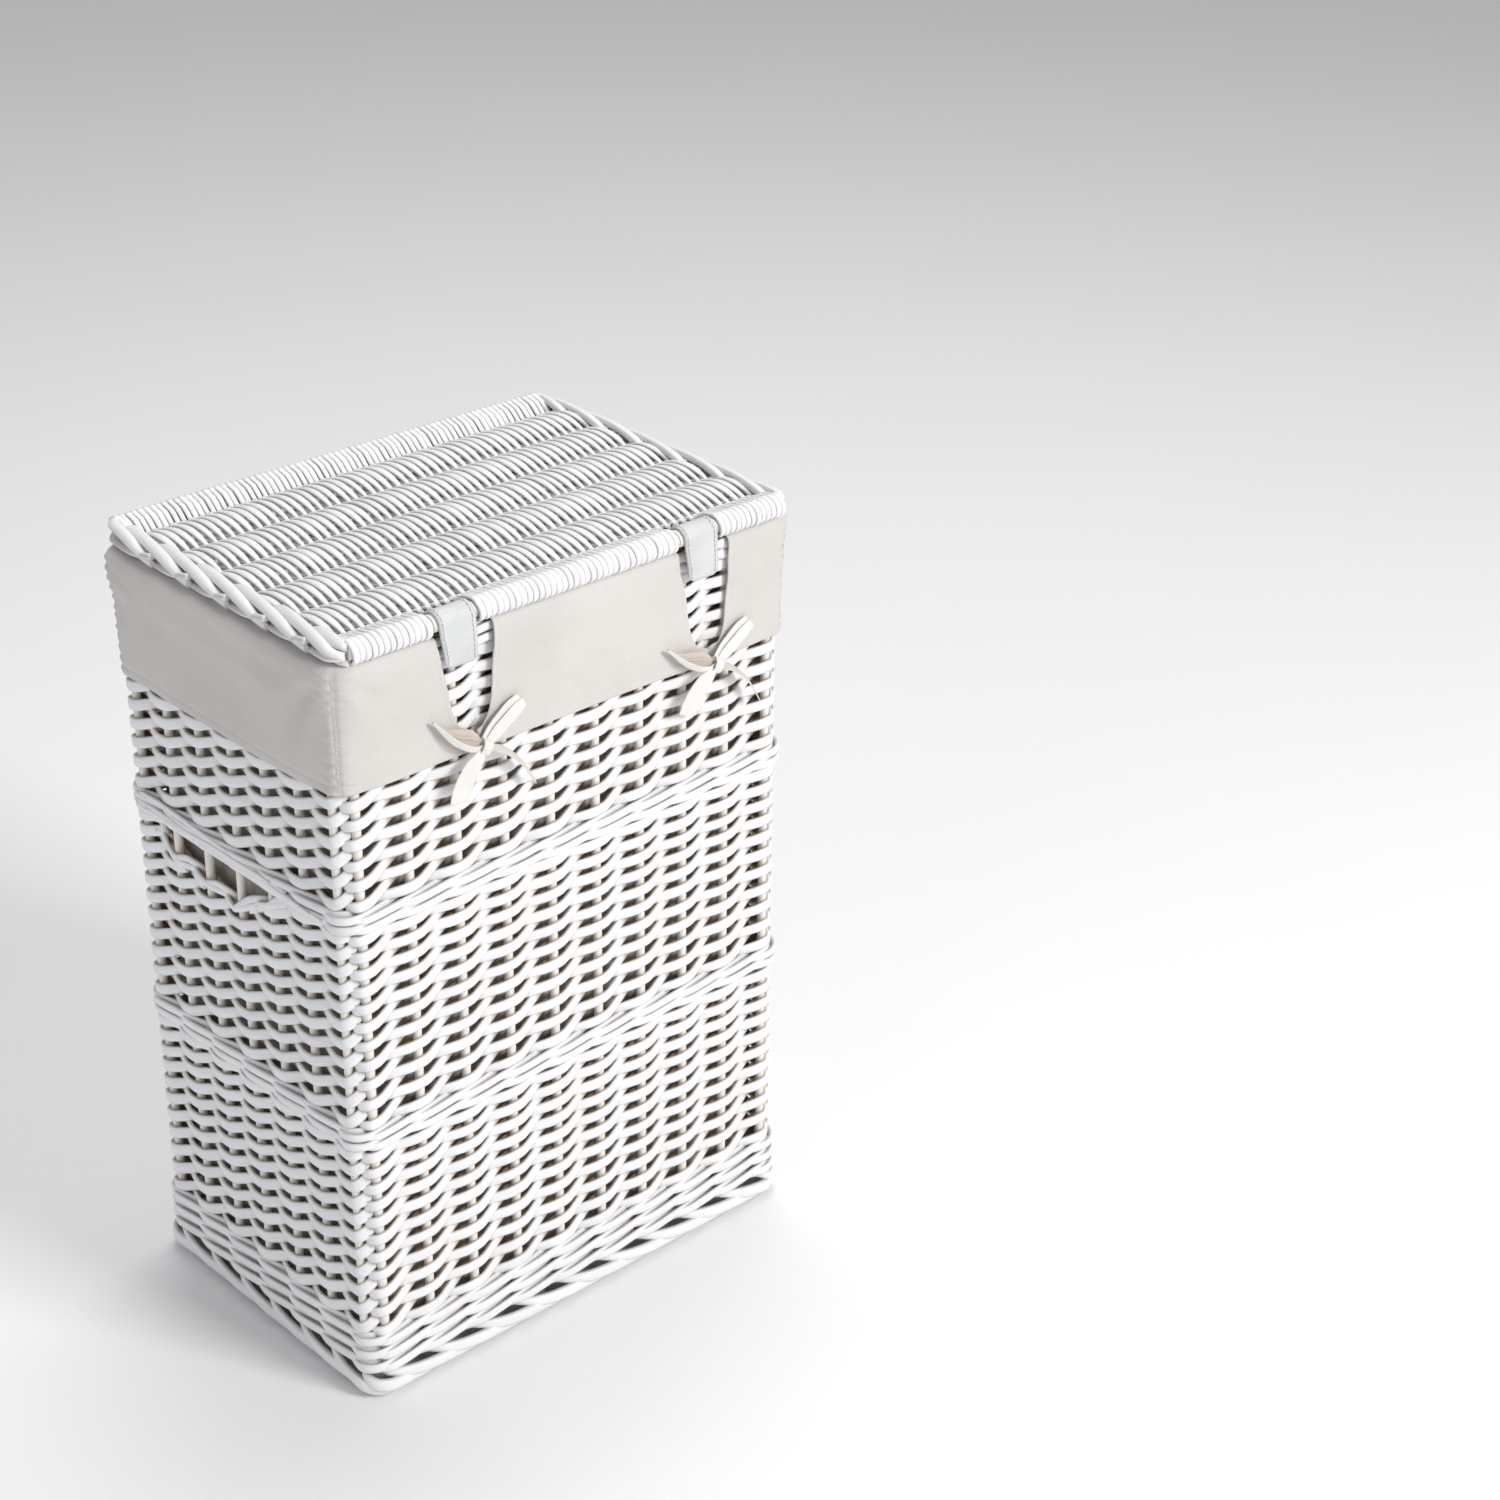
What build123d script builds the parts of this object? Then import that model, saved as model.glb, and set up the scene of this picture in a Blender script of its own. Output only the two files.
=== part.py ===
from build123d import *
import os

# Woven laundry basket with a hinged wicker lid and a cloth liner.
# Millimetres, +Z up, origin at the middle of the underside of the foot.
# The long side with the two strap hinges faces -Y.

# ---- driving dimensions -------------------------------------------------
wall_length = 351.4        # outside of the weave, along X
wall_width = 237.4         # outside of the weave, along Y
wall_thickness = 12.0      # one rod in front of and one behind each stake
corner_radius = 14.0       # outside of the wall corners
row_pitch = 13.5           # height from one row of weaving to the next
row_groove_height = 3.0
row_groove_depth = 1.2

foot_length = 354.0
foot_width = 240.0
foot_top = 17.0
base_wale_top = 49.0
wale_height = 21.0         # both narrow bands round the wall
lower_wale_bottom = 191.0
upper_wale_bottom = 338.0
rim_bottom = 499.0
rim_top = 514.0
rim_overhang = 2.0         # rim border beyond the wall, per side

stake_diameter = 5.8
stake_clearance = 0.3
long_stakes = 10
short_stakes = 7
corner_stake_inset = 9.1   # from the corner of the stake line to the first stake

base_stick_diameter = 8.0
base_stick_count = 6
base_weave_bottom = 17.3
base_weave_top = 28.5

slot_bottom = 318.5        # finger slot under the upper band
slot_start = -50.0         # along Y
slot_end = 85.0
sill_height = 5.0

lid_length = 360.0
lid_width = 253.0
lid_centre_height = 524.0
edge_rod_diameter = 10.0
edge_roll_diameter = 16.0  # edge rod with the rods wrapped round it
binding_diameter = 11.4    # bound length of edge rod inside each strap
lid_rib_diameter = 6.6
lid_rib_count = 5
lid_weave_thickness = 12.2
lid_border_width = 15.0
lid_border_height = 15.6
lid_corner_radius = 14.0

strap_centre = 93.0        # distance of each strap from the middle
strap_width = 26.0
strap_thickness = 2.0
strap_end_height = 495.0
binding_length = 33.0
notch_width = 31.0

cloth_thickness = 1.2
skirt_bottom = 434.0
slit_width = 34.0
bag_gap = 2.7              # between the wall and the bag
tie_shift = 16.0           # the knots sit to the right of the straps
tie_height = 439.0

gap = 0.3                  # clearance between neighbouring pieces

os.makedirs("parts", exist_ok=True)


# ---- small helpers ------------------------------------------------------
def write_node(name, solids):
    """Write one node, made of one or more separate solids."""
    if not isinstance(solids, list):
        solids = [solids]
    shape = solids[0] if len(solids) == 1 else Compound(children=solids)
    export_step(shape, "parts/" + name + ".step")


def block(x_low, x_high, y_low, y_high, z_low, z_high):
    """An upright box given by its limits."""
    size = (x_high - x_low, y_high - y_low, z_high - z_low)
    centre = ((x_low + x_high) / 2, (y_low + y_high) / 2, (z_low + z_high) / 2)
    return Pos(*centre) * Box(*size)


def slab(length, width, radius, z_low, z_high):
    """A rounded rectangle standing between two heights."""
    outline = RectangleRounded(length, width, radius)
    return Pos(0, 0, z_low) * extrude(outline, z_high - z_low)


def ring(length, width, radius, thickness, z_low, z_high):
    """A rounded rectangular band with an even wall."""
    inner_radius = max(radius - thickness, 2.0)
    outer = slab(length, width, radius, z_low, z_high)
    inner = slab(length - 2 * thickness, width - 2 * thickness, inner_radius, z_low - 1, z_high + 1)
    return outer - inner


def rod_x(diameter, x_low, x_high, y, z):
    """A round rod lying along X."""
    rod = Cylinder(diameter / 2, x_high - x_low, rotation=(0, 90, 0))
    return Pos((x_low + x_high) / 2, y, z) * rod


def tube_x(outer, inner, x_low, x_high, y, z):
    """A round sleeve lying along X."""
    return rod_x(outer, x_low, x_high, y, z) - rod_x(inner, x_low - 1, x_high + 1, y, z)


def upright(diameter, place, z_low, z_high):
    """A round upright rod."""
    return Pos(place[0], place[1], (z_low + z_high) / 2) * Cylinder(diameter / 2, z_high - z_low)


# ---- stakes -------------------------------------------------------------
stake_x = wall_length / 2 - wall_thickness / 2      # stake line of the short sides
stake_y = wall_width / 2 - wall_thickness / 2       # stake line of the long sides
long_reach = stake_x - corner_stake_inset
short_reach = stake_y - corner_stake_inset
long_places = [-long_reach + 2 * long_reach * i / (long_stakes - 1) for i in range(long_stakes)]
short_places = [-short_reach + 2 * short_reach * i / (short_stakes - 1) for i in range(short_stakes)]

stake_sets = {
    "front": [(x, -stake_y) for x in long_places],
    "back": [(x, stake_y) for x in long_places],
    "left": [(-stake_x, y) for y in short_places],
    "right": [(stake_x, y) for y in short_places],
}
all_stakes = [place for places in stake_sets.values() for place in places]
stake_bottom = foot_top + gap
stake_top = rim_top - 5.0

for side, places in stake_sets.items():
    write_node("stakes_" + side, [upright(stake_diameter, p, stake_bottom, stake_top) for p in places])


def bored(shape, places, z_low, z_high):
    """Take the stake holes out of a woven piece."""
    bore = stake_diameter + 2 * stake_clearance
    for place in places:
        shape = shape - upright(bore, place, z_low, z_high)
    return shape


# ---- base ---------------------------------------------------------------
foot = ring(foot_length, foot_width, corner_radius, wall_thickness + 2.0, 0.0, foot_top)
write_node("foot_border", fillet(foot.edges().filter_by(GeomType.LINE).group_by(Axis.Z)[0], 3.0))

base_wale = ring(wall_length + 1.6, wall_width + 1.6, corner_radius, wall_thickness, foot_top + gap, base_wale_top)
write_node("base_wale", bored(base_wale, all_stakes, foot_top, base_wale_top + 1))

inner_length = wall_length - 2 * wall_thickness
inner_width = wall_width - 2 * wall_thickness
base_length = inner_length - 2 * gap
base_width = inner_width - 2 * gap
base_middle = (base_weave_bottom + base_weave_top) / 2
base_weave = slab(base_length, base_width, 3.0, base_weave_bottom, base_weave_top)
base_sticks = []
for index in range(base_stick_count):
    y = base_width * (index + 0.5) / base_stick_count - base_width / 2
    hole = base_stick_diameter + 2 * gap
    base_weave = base_weave - rod_x(hole, -base_length, base_length, y, base_middle)
    base_sticks.append(rod_x(base_stick_diameter, -base_length / 2, base_length / 2, y, base_middle))
write_node("base_weave", base_weave)
write_node("base_sticks", base_sticks)


# ---- wall: four woven panels in each of three zones ---------------------
def woven_ring(z_low, z_high):
    """The wall between two heights, with a groove between each row and the next."""
    wall = ring(wall_length, wall_width, corner_radius, wall_thickness, z_low, z_high)
    rows = round((z_high - z_low) / row_pitch)
    pitch = (z_high - z_low) / rows
    depth = row_groove_depth
    for row in range(1, rows):
        middle = z_low + row * pitch
        low, high = middle - row_groove_height / 2, middle + row_groove_height / 2
        wall = wall - ring(wall_length + 2, wall_width + 2, corner_radius + 1, depth + 1, low, high)
    return wall


def side_prism(side, z_low, z_high):
    """The quarter of the plan that belongs to one side, mitred at the corners."""
    x, y = wall_length / 2, wall_width / 2
    cut = gap / 2
    depth = 60.0
    if side in ("front", "back"):
        points = [(-x + cut, y), (x - cut, y), (x - cut - depth, y - depth), (-x + cut + depth, y - depth)]
    else:
        points = [(x, y - cut), (x - depth, y - cut - depth), (x - depth, cut + depth - y), (x, cut - y)]
    if side == "front":
        points = [(px, -py) for px, py in points]
    if side == "left":
        points = [(-px, py) for px, py in points]
    face = make_face(Polyline(*points, close=True))
    return Pos(0, 0, z_low) * extrude(face, z_high - z_low, dir=(0, 0, 1))


lower_wale_top = lower_wale_bottom + wale_height
upper_wale_top = upper_wale_bottom + wale_height
zones = {
    "lower": (base_wale_top + gap, lower_wale_bottom - gap),
    "middle": (lower_wale_top + gap, upper_wale_bottom - gap),
    "upper": (upper_wale_top + gap, rim_bottom - gap),
}
sill_top = slot_bottom
sill_bottom = slot_bottom - sill_height

for zone, (z_low, z_high) in zones.items():
    zone_ring = woven_ring(z_low, z_high)
    for side, places in stake_sets.items():
        panel = zone_ring & side_prism(side, z_low, z_high)
        if zone == "middle" and side in ("left", "right"):
            panel = panel - block(-200, 200, slot_start, slot_end, sill_bottom - gap, z_high + 1)
        panel = bored(panel, places, z_low - 1, z_high + 1)
        write_node("weave_" + zone + "_" + side, panel.solids())

for name, bottom in (("wale_lower", lower_wale_bottom), ("wale_upper", upper_wale_bottom)):
    band = ring(wall_length + 0.6, wall_width + 0.6, corner_radius, wall_thickness, bottom, bottom + wale_height)
    write_node(name, bored(band, all_stakes, bottom - 1, bottom + wale_height + 1))

# Weavers turned back along the bottom of each finger slot.
for side, sign in (("left", -1), ("right", 1)):
    centre = sign * stake_x
    half = wall_thickness / 2
    sill = block(centre - half, centre + half, slot_start + gap, slot_end - gap, sill_bottom, sill_top)
    crossing = [p for p in stake_sets[side] if slot_start < p[1] < slot_end]
    write_node("handle_sill_" + side, bored(sill, crossing, sill_bottom - 1, sill_top + 1))

# Rolled border over the tops of the stakes.
rim_length = wall_length + 2 * rim_overhang
rim_width = wall_width + 2 * rim_overhang
rim_border = ring(rim_length, rim_width, corner_radius + rim_overhang, wall_thickness + 2.0, rim_bottom, rim_top)
rim_border = bored(rim_border, all_stakes, rim_bottom - 1, stake_top + gap)
write_node("rim_border", rim_border)

# ---- cloth liner --------------------------------------------------------
bag_length = inner_length - 2 * bag_gap
bag_width = inner_width - 2 * bag_gap
bag_bottom = base_weave_top + gap
fold_top = rim_top + gap + cloth_thickness
bag = slab(bag_length, bag_width, 6.0, bag_bottom, fold_top)
bag_inside = slab(
    bag_length - 2 * cloth_thickness,
    bag_width - 2 * cloth_thickness,
    6.0 - cloth_thickness,
    bag_bottom + cloth_thickness,
    fold_top + 1,
)
bag = bag - bag_inside

skirt_length = rim_length + 2 * gap + 2 * cloth_thickness
skirt_width = rim_width + 2 * gap + 2 * cloth_thickness
skirt_radius = corner_radius + rim_overhang + gap + cloth_thickness
skirt = ring(skirt_length, skirt_width, skirt_radius, cloth_thickness, skirt_bottom, fold_top)
fold_flat = slab(skirt_length, skirt_width, skirt_radius, rim_top + gap, fold_top)
fold_hole = slab(bag_length + 0.4, bag_width + 0.4, 6.2, rim_top, fold_top + 1)
skirt = skirt + (fold_flat - fold_hole)

# The liner is open at each strap, so that the strap reaches the rim.
for sign in (-1, 1):
    low = sign * strap_centre - slit_width / 2
    high = sign * strap_centre + slit_width / 2
    skirt = skirt - block(low, high, -200, -90, skirt_bottom - 1, fold_top + 1)
    bag = bag - block(low, high, -200, -90, 490, fold_top + 1)
write_node("liner_bag", bag)
write_node("liner_skirt", skirt.solids())


def tape(knot, lean, reach, width, thickness):
    """One flat length of tape running out from the knot in the plane of the skirt."""
    piece = Pos(reach / 2, 0, 0) * Box(reach, thickness, width)
    return Pos(*knot) * (Rot(0, lean, 0) * piece)


# Each bow: a knot, two loops and two tails, all of one length of tape.
tie_y = -(skirt_width / 2 + 2.2)
for side, sign in (("left", -1), ("right", 1)):
    knot = (sign * strap_centre + tie_shift, tie_y, tie_height)
    bow = Pos(*knot) * Box(11, 4.0, 11)
    for lean, reach, width, thickness in (
        (195, 40, 13, 3.4),      # loop to the left
        (-38, 48, 14, 3.4),      # loop up to the right
        (105, 50, 15, 1.6),      # wide tail, down to the left
        (48, 48, 8, 1.6),        # narrow tail, down to the right
    ):
        bow = bow + tape(knot, lean, reach, width, thickness)
    write_node("tie_" + side, bow)


# ---- lid ----------------------------------------------------------------
rod_y = lid_width / 2 - edge_roll_diameter / 2
rod_reach = lid_length / 2 - lid_border_width - gap
rod_hole = edge_rod_diameter + 2 * gap
z = lid_centre_height
write_node("lid_rod_front", rod_x(edge_rod_diameter, -rod_reach, rod_reach, -rod_y, z))
write_node("lid_rod_back", rod_x(edge_rod_diameter, -rod_reach, rod_reach, rod_y, z))
write_node("lid_wrap_back", tube_x(edge_roll_diameter, rod_hole, -rod_reach, rod_reach, rod_y, z))

binding_half = binding_length / 2
wrap_limits = {
    "left": (-rod_reach, -strap_centre - binding_half - gap),
    "middle": (-strap_centre + binding_half + gap, strap_centre - binding_half - gap),
    "right": (strap_centre + binding_half + gap, rod_reach),
}
for name, (low, high) in wrap_limits.items():
    write_node("lid_wrap_front_" + name, tube_x(edge_roll_diameter, rod_hole, low, high, -rod_y, z))
for name, sign in (("left", -1), ("right", 1)):
    low = sign * strap_centre - binding_half
    high = sign * strap_centre + binding_half
    write_node("lid_binding_" + name, tube_x(binding_diameter, rod_hole, low, high, -rod_y, z))

weave_half_width = rod_y - edge_roll_diameter / 2 - gap
half_thick = lid_weave_thickness / 2
lid_weave = block(-rod_reach, rod_reach, -weave_half_width, weave_half_width, z - half_thick, z + half_thick)
for sign in (-1, 1):
    low = sign * strap_centre - notch_width / 2
    high = sign * strap_centre + notch_width / 2
    notch = block(low, high, -weave_half_width - 1, -weave_half_width + 13, z - 20, z + 20)
    lid_weave = lid_weave - notch
lid_ribs = []
rib_pitch = 2 * rod_y / (lid_rib_count + 1)
for index in range(lid_rib_count):
    y = -rod_y + rib_pitch * (index + 1)
    lid_weave = lid_weave - rod_x(lid_rib_diameter + 2 * gap, -rod_reach - 1, rod_reach + 1, y, z)
    lid_ribs.append(rod_x(lid_rib_diameter, -rod_reach, rod_reach, y, z))
write_node("lid_weave", lid_weave)
write_node("lid_ribs", lid_ribs)

# Plaited borders along the two short edges of the lid, rounded at their ends
# so that they roll over the rim as the lid opens.
plan = slab(lid_length, lid_width, lid_corner_radius, z - 20, z + 20)
for name, sign in (("left", -1), ("right", 1)):
    middle = sign * (lid_length - lid_border_width) / 2
    border = extrude(Plane.YZ * SlotOverall(lid_width, lid_border_height), lid_border_width / 2, both=True)
    write_node("lid_border_" + name, (Pos(middle, 0, z) * border) & plan)


# ---- hinge straps -------------------------------------------------------
def strap_band(offset):
    """The region within a hairpin over the bound rod, its legs drawn in to the rim."""
    inner = binding_diameter / 2 + gap + offset
    outer_leg = -(rim_width / 2 + 0.5 + offset)
    inner_leg = -(rim_width / 2 - wall_thickness - 2.0 - 0.5 - offset)
    knee = rim_top + 1.0
    top = Pos(-rod_y, z) * Circle(inner)
    legs = make_face(Polyline(
        (-rod_y - inner, z),
        (outer_leg, knee),
        (outer_leg, strap_end_height),
        (inner_leg, strap_end_height),
        (inner_leg, knee),
        (-rod_y + inner, z),
        close=True,
    ))
    return top + legs


profile = strap_band(strap_thickness) - strap_band(0.0)
for name, sign in (("left", -1), ("right", 1)):
    strap = extrude(Plane.YZ * profile, strap_width / 2, both=True)
    write_node("hinge_strap_" + name, Pos(sign * strap_centre, 0, 0) * strap)
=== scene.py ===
import math
import bpy
import numpy as np
from mathutils import Matrix, Vector


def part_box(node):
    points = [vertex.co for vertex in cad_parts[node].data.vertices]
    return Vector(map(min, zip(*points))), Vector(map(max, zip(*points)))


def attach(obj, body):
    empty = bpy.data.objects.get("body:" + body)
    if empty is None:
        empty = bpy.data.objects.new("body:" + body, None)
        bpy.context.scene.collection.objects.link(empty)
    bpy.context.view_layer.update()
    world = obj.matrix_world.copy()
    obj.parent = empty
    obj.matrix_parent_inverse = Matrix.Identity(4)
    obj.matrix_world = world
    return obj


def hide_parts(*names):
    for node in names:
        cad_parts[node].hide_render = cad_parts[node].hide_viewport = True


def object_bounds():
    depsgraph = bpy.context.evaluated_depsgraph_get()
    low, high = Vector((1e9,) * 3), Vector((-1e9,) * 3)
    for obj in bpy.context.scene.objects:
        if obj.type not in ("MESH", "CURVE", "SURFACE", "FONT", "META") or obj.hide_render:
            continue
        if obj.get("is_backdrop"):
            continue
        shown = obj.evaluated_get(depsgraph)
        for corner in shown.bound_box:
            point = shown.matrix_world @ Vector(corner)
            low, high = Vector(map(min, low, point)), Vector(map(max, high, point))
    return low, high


# A white woven laundry basket with a hinged wicker lid and a cloth liner.
# Lengths in this script are millimetres until a piece is made, then metres.

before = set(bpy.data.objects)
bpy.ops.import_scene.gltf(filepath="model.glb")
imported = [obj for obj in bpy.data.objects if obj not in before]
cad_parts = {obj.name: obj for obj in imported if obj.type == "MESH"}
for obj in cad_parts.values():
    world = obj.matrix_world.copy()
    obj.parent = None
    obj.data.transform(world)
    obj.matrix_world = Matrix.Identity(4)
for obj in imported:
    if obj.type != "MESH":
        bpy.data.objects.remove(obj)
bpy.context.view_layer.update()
rng = np.random.default_rng(20)


# ---- reading the frame ----
def node_box(name):
    """Lowest and highest corner of a CAD node, in millimetres."""
    low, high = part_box(name)
    return np.array(low) * 1000.0, np.array(high) * 1000.0


front_low, front_high = node_box("stakes_front")
side_low, side_high = node_box("stakes_right")
stake_radius = (front_high[1] - front_low[1]) / 2
stake_y = -(front_low[1] + front_high[1]) / 2  # stake line of the long sides
stake_x = (side_low[0] + side_high[0]) / 2  # stake line of the short sides
long_reach = front_high[0] - stake_radius
short_reach = side_high[1] - stake_radius
long_stakes, short_stakes = 10, 7
stake_count = 2 * (long_stakes + short_stakes)

rod_low, rod_high = node_box("lid_rod_front")
lid_z = (rod_low[2] + rod_high[2]) / 2
rod_y = -(rod_low[1] + rod_high[1]) / 2
rod_reach = rod_high[0]
lid_low, lid_high = node_box("lid_border_left")
lid_half_length = -lid_low[0]
strap_low, strap_high = node_box("hinge_strap_right")
strap_centre = (strap_low[0] + strap_high[0]) / 2
strap_end = strap_low[2]
skirt_hem = node_box("liner_skirt")[0][2]
bag_low, bag_high = node_box("liner_bag")
rim_top = node_box("rim_border")[1][2]
base_low, base_high = node_box("base_weave")


# ---- mesh helpers ----
def unit(vectors):
    return vectors / np.maximum(np.linalg.norm(vectors, axis=-1, keepdims=True), 1e-9)


def ease(t):
    """Smooth step from 0 to 1."""
    t = np.clip(t, 0.0, 1.0)
    return t * t * (3 - 2 * t)


def soften(values, passes):
    """Round off the kinks of a sampled line, keeping its ends."""
    values = np.array(values, float)
    for _ in range(passes):
        values[1:-1] = (values[:-2] + 2 * values[1:-1] + values[2:]) / 4
    return values


def curve_through(points, count):
    """Points at even steps on a Catmull-Rom curve through the given points."""
    points = np.asarray(points, float)
    padded = np.vstack([2 * points[0] - points[1], points, 2 * points[-1] - points[-2]])
    place = np.linspace(0, len(points) - 1 - 1e-9, count)
    first = place.astype(int)
    t = (place - first)[:, None]
    a, b, c, d = (padded[first + i] for i in range(4))
    return 0.5 * (2 * b + (c - a) * t + (2 * a - 5 * b + 4 * c - d) * t**2 + (3 * b - a - 3 * c + d) * t**3)


def distances_along(line):
    """Distance of each point of a line from its first one."""
    steps = np.linalg.norm(np.diff(line, axis=0), axis=1)
    return np.concatenate([[0.0], np.cumsum(steps)])


def read_along(place, steps, values):
    """Values given at the points of a line, read at other distances along it."""
    return np.column_stack([np.interp(place, steps, column) for column in values.T])


def drift(place, size):
    """A slow random wander along a strand."""
    phases = rng.uniform(0, 2 * math.pi, 3)
    lengths = rng.uniform(2.2, 6.5, 3)
    total = sum(np.sin(2 * math.pi * place / lengths[i] + phases[i]) for i in range(3))
    return size * total / 3


def make_object(name, mesh, material, body):
    mesh.materials.append(material)
    piece = bpy.data.objects.new(name, mesh)
    bpy.context.scene.collection.objects.link(piece)
    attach(piece, body)
    return piece


class Heap:
    """Gathers many closed strands into one mesh, each vertex with its own grain values and its share of the
    recess colour: bare wood and painted shade.
    """

    def __init__(self):
        self.points = []
        self.quads = []
        self.caps = []
        self.values = {"tone": [], "bare_and_shade": [], "along": [], "across": []}
        self.count = 0

    def add(self, rings, tone, bare_and_shade, along, across):
        """rings is (rings, sides, 3); the values broadcast over it."""
        ring_count, sides = rings.shape[:2]
        index = np.arange(ring_count * sides).reshape(ring_count, sides) + self.count
        turned = np.roll(index, -1, axis=1)
        quads = np.stack([index[:-1], index[1:], turned[1:], turned[:-1]], axis=-1)
        self.quads.append(quads.reshape(-1, 4))
        self.caps.append(index[0])
        self.caps.append(index[-1][::-1])
        self.points.append(rings.reshape(-1, 3))
        for key, value in (("tone", tone), ("bare_and_shade", bare_and_shade), ("along", along), ("across", across)):
            self.values[key].append(np.broadcast_to(value, (ring_count, sides)).reshape(-1))
        self.count += ring_count * sides

    def make(self, name, material, body):
        points = np.concatenate(self.points) / 1000.0
        quads = np.concatenate(self.quads)
        corners = np.concatenate([quads.reshape(-1)] + self.caps)
        cap_starts = len(quads) * 4 + np.cumsum([0] + [len(cap) for cap in self.caps[:-1]])
        starts = np.concatenate([np.arange(len(quads)) * 4, cap_starts])
        mesh = bpy.data.meshes.new(name)
        mesh.vertices.add(len(points))
        mesh.vertices.foreach_set("co", points.astype(np.float32).ravel())
        mesh.loops.add(len(corners))
        mesh.loops.foreach_set("vertex_index", corners.astype(np.int32))
        mesh.polygons.add(len(starts))
        mesh.polygons.foreach_set("loop_start", starts.astype(np.int32))
        smooth = np.ones(len(starts), bool)
        smooth[len(quads):] = False
        mesh.polygons.foreach_set("use_smooth", smooth)
        for key, value in self.values.items():
            layer = mesh.attributes.new(key, "FLOAT", "POINT")
            layer.data.foreach_set("value", np.concatenate(value).astype(np.float32))
        mesh.update(calc_edges=True)
        return make_object(name, mesh, material, body)

    def wicker(self, name, body, *replaced):
        """Make the mesh in white willow, in place of the CAD nodes named."""
        piece = self.make(name, white_willow, body)
        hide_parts(*replaced)


def section(sides, power):
    """A pillow-shaped cross section, one unit wide and one unit thick."""
    angle = (np.arange(sides) + 0.5) / sides * 2 * math.pi
    x = np.sign(np.cos(angle)) * np.abs(np.cos(angle)) ** (2 / power)
    y = np.sign(np.sin(angle)) * np.abs(np.sin(angle)) ** (2 / power)
    return np.stack([x / np.abs(x).max(), y / np.abs(y).max()], axis=-1) / 2


def sweep(heap, path, outward, width, thick, bare_and_shade=0.0, tone=None,
          sides=8, side=None, power=2.7, underside_bare_and_shade=0.35):
    """A strand along a path. Its flat face looks outward, or else its width lies along side."""
    if tone is None:
        tone = rng.uniform(0, 1)
    path = np.asarray(path, float)
    count = len(path)
    tangent = unit(np.gradient(path, axis=0))
    if side is None:
        side = np.cross(tangent, np.broadcast_to(outward, path.shape))
    else:
        side = side - tangent * np.sum(side * tangent, axis=1, keepdims=True)
    side = unit(side)
    normal = np.cross(side, tangent)
    profile = section(sides, power)
    width = np.broadcast_to(width, count)[:, None, None]
    thick = np.broadcast_to(thick, count)[:, None, None]
    rings = path[:, None, :] + side[:, None, :] * profile[None, :, :1] * width
    rings = rings + normal[:, None, :] * profile[None, :, 1:] * thick
    along = distances_along(path)[:, None] / 1000.0
    across = profile[None, :, 0] * 2
    # Recess colour on the underside of every strand and where it runs behind the stakes: partly bare wood,
    # partly painted shade.
    underside = np.clip(-2 * profile[None, :, 1], 0, 1)
    bare_and_shade = np.broadcast_to(bare_and_shade, count)[:, None] + underside_bare_and_shade * underside
    heap.add(rings, tone, np.clip(bare_and_shade, 0, 1), along + 10 * tone, across)


class Rail:
    """A rounded rectangle seen from above, run anticlockwise from the back end of the left side."""

    def __init__(self, half_x, half_y, radius):
        self.radius = radius
        straight_x, straight_y = half_x - radius, half_y - radius
        quarter = radius * math.pi / 2
        self.lengths = [2 * straight_y, quarter, 2 * straight_x, quarter] * 2
        self.starts = np.concatenate([[0.0], np.cumsum(self.lengths)])
        self.total = self.starts[-1]
        self.begin = [(-half_x, straight_y), (-straight_x, -half_y),
                      (half_x, -straight_y), (straight_x, half_y)]
        self.heading = [(0, -1), (1, 0), (0, 1), (-1, 0)]
        self.centre = [(x * straight_x, y * straight_y) for x, y in ((-1, -1), (1, -1), (1, 1), (-1, 1))]
        self.angle = [math.pi, 1.5 * math.pi, 0.0, 0.5 * math.pi]

    def at(self, place, offset):
        """Points and outward directions, as (n, 2) arrays, offset outward from the rail."""
        place = np.mod(np.asarray(place, float), self.total)
        offset = np.broadcast_to(offset, place.shape)
        points = np.zeros((len(place), 2))
        normals = np.zeros((len(place), 2))
        which = np.clip(np.searchsorted(self.starts, place, side="right") - 1, 0, 7)
        for part in range(8):
            chosen = which == part
            if not chosen.any():
                continue
            run = place[chosen] - self.starts[part]
            number, is_corner = divmod(part, 2)
            if is_corner:
                angle = self.angle[number] + run / self.radius
                normal = np.stack([np.cos(angle), np.sin(angle)], axis=-1)
                base = np.array(self.centre[number]) + normal * self.radius
            else:
                dx, dy = self.heading[number]
                normal = np.tile((dy, -dx), (len(run), 1)).astype(float)
                base = np.array(self.begin[number]) + run[:, None] * np.array((dx, dy))
            points[chosen] = base + normal * offset[chosen, None]
            normals[chosen] = normal
        return points, normals

    def space(self, place, offset, height):
        """Points in space on the rail, with their outward directions."""
        flat, normal = self.at(place, offset)
        height = np.broadcast_to(height, len(flat))
        points = np.column_stack([flat, height])
        return points, np.column_stack([normal, np.zeros(len(flat))])


wall_rail = Rail(stake_x, stake_y, stake_x - long_reach)
side_turns = [short_stakes, long_stakes, short_stakes, long_stakes]
stations = []
for part, stakes in enumerate(side_turns):
    stations += list(np.linspace(wall_rail.starts[2 * part], wall_rail.starts[2 * part + 1], stakes))
stations = np.array(stations)


def station(turn):
    """Place on the rail of stake number `turn`, which may lie between two stakes or past the last."""
    turn = np.asarray(turn, float)
    table = np.concatenate([stations + lap * wall_rail.total for lap in range(-1, 4)])
    return np.interp(turn + stake_count, np.arange(len(table)), table)


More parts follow.
